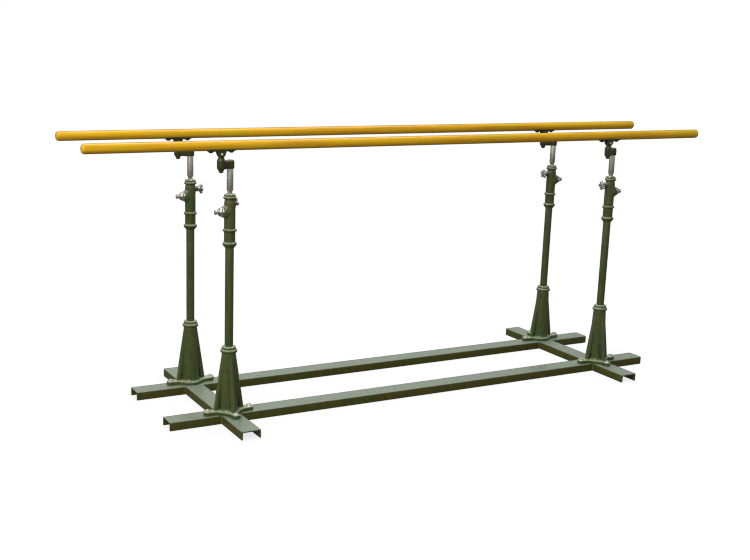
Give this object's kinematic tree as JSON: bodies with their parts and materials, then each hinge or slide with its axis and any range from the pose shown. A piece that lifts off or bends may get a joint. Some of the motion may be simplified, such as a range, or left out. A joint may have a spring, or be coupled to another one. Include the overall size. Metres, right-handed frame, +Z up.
{
  "type": "parallel bars",
  "caption": "Gymnastics parallel bars: two long oval rails on swinging arms and telescopic posts, carried by a bolted and welded frame of channels.",
  "frame": {"origin": "on the floor, below the middle of the bounding box", "axes": "+X along the rails, +Y from the front rail to the rear rail, +Z up"},
  "size_m": [3.535, 1.057, 1.333],
  "materials": {
    "frame_paint": "glossy dark green enamel",
    "casting_paint": "glossy dark green enamel over cast iron",
    "crank_paint": "dark olive enamel",
    "post_steel": "ground and plated",
    "chrome": "polished",
    "zinc_bolt": "zinc plated, slightly tarnished",
    "spring_steel": "drawn",
    "brass": "machined",
    "rail_varnish": "glossy varnish"
  },
  "bodies": {
    "base": {"long_channel_front": "frame_paint", "long_channel_rear": "frame_paint", "cross_channel_left": "frame_paint", "cross_channel_right": "frame_paint", "cross_stubs": "frame_paint", "weld_beads": "frame_paint", "base_bolts": "zinc_bolt", "base_nuts": "zinc_bolt", "guide_bushes": "brass", "index_housings": "chrome", "base_casting_front_left": "casting_paint", "lower_tube_front_left": "casting_paint", "sleeve_front_left": "casting_paint", "index_spring_front_left": "spring_steel", "base_casting_front_right": "casting_paint", "lower_tube_front_right": "casting_paint", "sleeve_front_right": "casting_paint", "index_spring_front_right": "spring_steel", "base_casting_rear_left": "casting_paint", "lower_tube_rear_left": "casting_paint", "sleeve_rear_left": "casting_paint", "index_spring_rear_left": "spring_steel", "base_casting_rear_right": "casting_paint", "lower_tube_rear_right": "casting_paint", "sleeve_rear_right": "casting_paint", "index_spring_rear_right": "spring_steel"},
    "post_front_left": {"post_front_left": "post_steel"},
    "crank_front_left": {"crank_arm_front_left": "crank_paint"},
    "head_front_left": {"rail_head_front_left": "crank_paint", "swivel_nut_front_left": "crank_paint"},
    "plunger_front_left": {"index_pin_front_left": "chrome"},
    "knob_front_left": {"clamp_knob_front_left": "chrome"},
    "post_front_right": {"post_front_right": "post_steel"},
    "crank_front_right": {"crank_arm_front_right": "crank_paint"},
    "head_front_right": {"rail_head_front_right": "crank_paint", "swivel_nut_front_right": "crank_paint"},
    "plunger_front_right": {"index_pin_front_right": "chrome"},
    "knob_front_right": {"clamp_knob_front_right": "chrome"},
    "post_rear_left": {"post_rear_left": "post_steel"},
    "crank_rear_left": {"crank_arm_rear_left": "crank_paint"},
    "head_rear_left": {"rail_head_rear_left": "crank_paint", "swivel_nut_rear_left": "crank_paint"},
    "plunger_rear_left": {"index_pin_rear_left": "chrome"},
    "knob_rear_left": {"clamp_knob_rear_left": "chrome"},
    "post_rear_right": {"post_rear_right": "post_steel"},
    "crank_rear_right": {"crank_arm_rear_right": "crank_paint"},
    "head_rear_right": {"rail_head_rear_right": "crank_paint", "swivel_nut_rear_right": "crank_paint"},
    "plunger_rear_right": {"index_pin_rear_right": "chrome"},
    "knob_rear_right": {"clamp_knob_rear_right": "chrome"},
    "rail_front": {"rail_front": "rail_varnish", "rail_core_front": "spring_steel", "rail_saddles_front": "crank_paint", "pivot_pins_front": "zinc_bolt", "saddle_screws_front": "crank_paint"},
    "rail_rear": {"rail_rear": "rail_varnish", "rail_core_rear": "spring_steel", "rail_saddles_rear": "crank_paint", "pivot_pins_rear": "zinc_bolt", "saddle_screws_rear": "crank_paint"}
  },
  "joints": [
    {"name": "height_front", "type": "slide", "parent": "base", "child": "post_front_left", "axis": [0, 0, 1], "range_m": [-0.045, 0.405]},
    {"name": "level_front", "type": "slide", "parent": "post_front_left", "child": "post_front_right", "axis": [0, 0, 1], "range_m": [-0.045, 0.045]},
    {"name": "swing_front_left", "type": "hinge", "parent": "post_front_left", "child": "crank_front_left", "pos_m": [-1.0785, -0.2545, 1.22], "axis": [0, 0, 1], "range_deg": [-49, 65]},
    {"name": "swing_front_right", "type": "hinge", "parent": "post_front_right", "child": "crank_front_right", "pos_m": [1.1575, -0.2545, 1.22], "axis": [0, 0, 1], "range_deg": [-49, 65]},
    {"name": "swivel_front_left", "type": "hinge", "parent": "crank_front_left", "child": "head_front_left", "pos_m": [-1.1329, -0.2799, 1.225], "axis": [0, 0, 1], "range_deg": [-65, 49]},
    {"name": "swivel_front_right", "type": "hinge", "parent": "crank_front_right", "child": "head_front_right", "pos_m": [1.1031, -0.2799, 1.225], "axis": [0, 0, 1], "range_deg": [-65, 49]},
    {"name": "tilt_front", "type": "hinge", "parent": "head_front_left", "child": "rail_front", "pos_m": [-1.1329, -0.2799, 1.272], "axis": [0, 1, 0], "range_deg": [-1.3, 1.3]},
    {"name": "height_rear", "type": "slide", "parent": "base", "child": "post_rear_left", "axis": [0, 0, 1], "range_m": [-0.045, 0.405]},
    {"name": "level_rear", "type": "slide", "parent": "post_rear_left", "child": "post_rear_right", "axis": [0, 0, 1], "range_m": [-0.045, 0.045]},
    {"name": "swing_rear_left", "type": "hinge", "parent": "post_rear_left", "child": "crank_rear_left", "pos_m": [-1.0785, 0.2545, 1.22], "axis": [0, 0, 1], "range_deg": [-65, 49]},
    {"name": "swing_rear_right", "type": "hinge", "parent": "post_rear_right", "child": "crank_rear_right", "pos_m": [1.1575, 0.2545, 1.22], "axis": [0, 0, 1], "range_deg": [-65, 49]},
    {"name": "swivel_rear_left", "type": "hinge", "parent": "crank_rear_left", "child": "head_rear_left", "pos_m": [-1.1329, 0.2799, 1.225], "axis": [0, 0, 1], "range_deg": [-49, 65]},
    {"name": "swivel_rear_right", "type": "hinge", "parent": "crank_rear_right", "child": "head_rear_right", "pos_m": [1.1031, 0.2799, 1.225], "axis": [0, 0, 1], "range_deg": [-49, 65]},
    {"name": "tilt_rear", "type": "hinge", "parent": "head_rear_left", "child": "rail_rear", "pos_m": [-1.1329, 0.2799, 1.272], "axis": [0, 1, 0], "range_deg": [-1.3, 1.3]},
    {"name": "index_front_left", "type": "slide", "parent": "base", "child": "plunger_front_left", "axis": [-1, 0, 0], "range_m": [-0.0045, 0], "deforming": ["index_spring_front_left"]},
    {"name": "clamp_front_left", "type": "hinge", "parent": "base", "child": "knob_front_left", "pos_m": [-1.0785, -0.2545, 1.04], "axis": [0.682, 0.7314, 0], "range_deg": [0, 270]},
    {"name": "index_front_right", "type": "slide", "parent": "base", "child": "plunger_front_right", "axis": [1, 0, 0], "range_m": [-0.0045, 0], "deforming": ["index_spring_front_right"]},
    {"name": "clamp_front_right", "type": "hinge", "parent": "base", "child": "knob_front_right", "pos_m": [1.1575, -0.2545, 1.04], "axis": [-1, 0, 0], "range_deg": [0, 270]},
    {"name": "index_rear_left", "type": "slide", "parent": "base", "child": "plunger_rear_left", "axis": [-1, 0, 0], "range_m": [-0.0045, 0], "deforming": ["index_spring_rear_left"]},
    {"name": "clamp_rear_left", "type": "hinge", "parent": "base", "child": "knob_rear_left", "pos_m": [-1.0785, 0.2545, 1.04], "axis": [1, 0, 0], "range_deg": [0, 270]},
    {"name": "index_rear_right", "type": "slide", "parent": "base", "child": "plunger_rear_right", "axis": [1, 0, 0], "range_m": [-0.0045, 0], "deforming": ["index_spring_rear_right"]},
    {"name": "clamp_rear_right", "type": "hinge", "parent": "base", "child": "knob_rear_right", "pos_m": [1.1575, 0.2545, 1.04], "axis": [-1, 0, 0], "range_deg": [0, 270]}
  ],
  "couplings": [
    {"joint": "swing_front_right", "follows": "swing_front_left", "ratio": 1},
    {"joint": "swivel_front_left", "follows": "swing_front_left", "ratio": -1},
    {"joint": "swivel_front_right", "follows": "swing_front_left", "ratio": -1},
    {"joint": "tilt_front", "follows": "level_front", "rad_per_m": -0.44723},
    {"joint": "swing_rear_right", "follows": "swing_rear_left", "ratio": 1},
    {"joint": "swivel_rear_left", "follows": "swing_rear_left", "ratio": -1},
    {"joint": "swivel_rear_right", "follows": "swing_rear_left", "ratio": -1},
    {"joint": "tilt_rear", "follows": "level_rear", "rad_per_m": -0.44723}
  ]
}
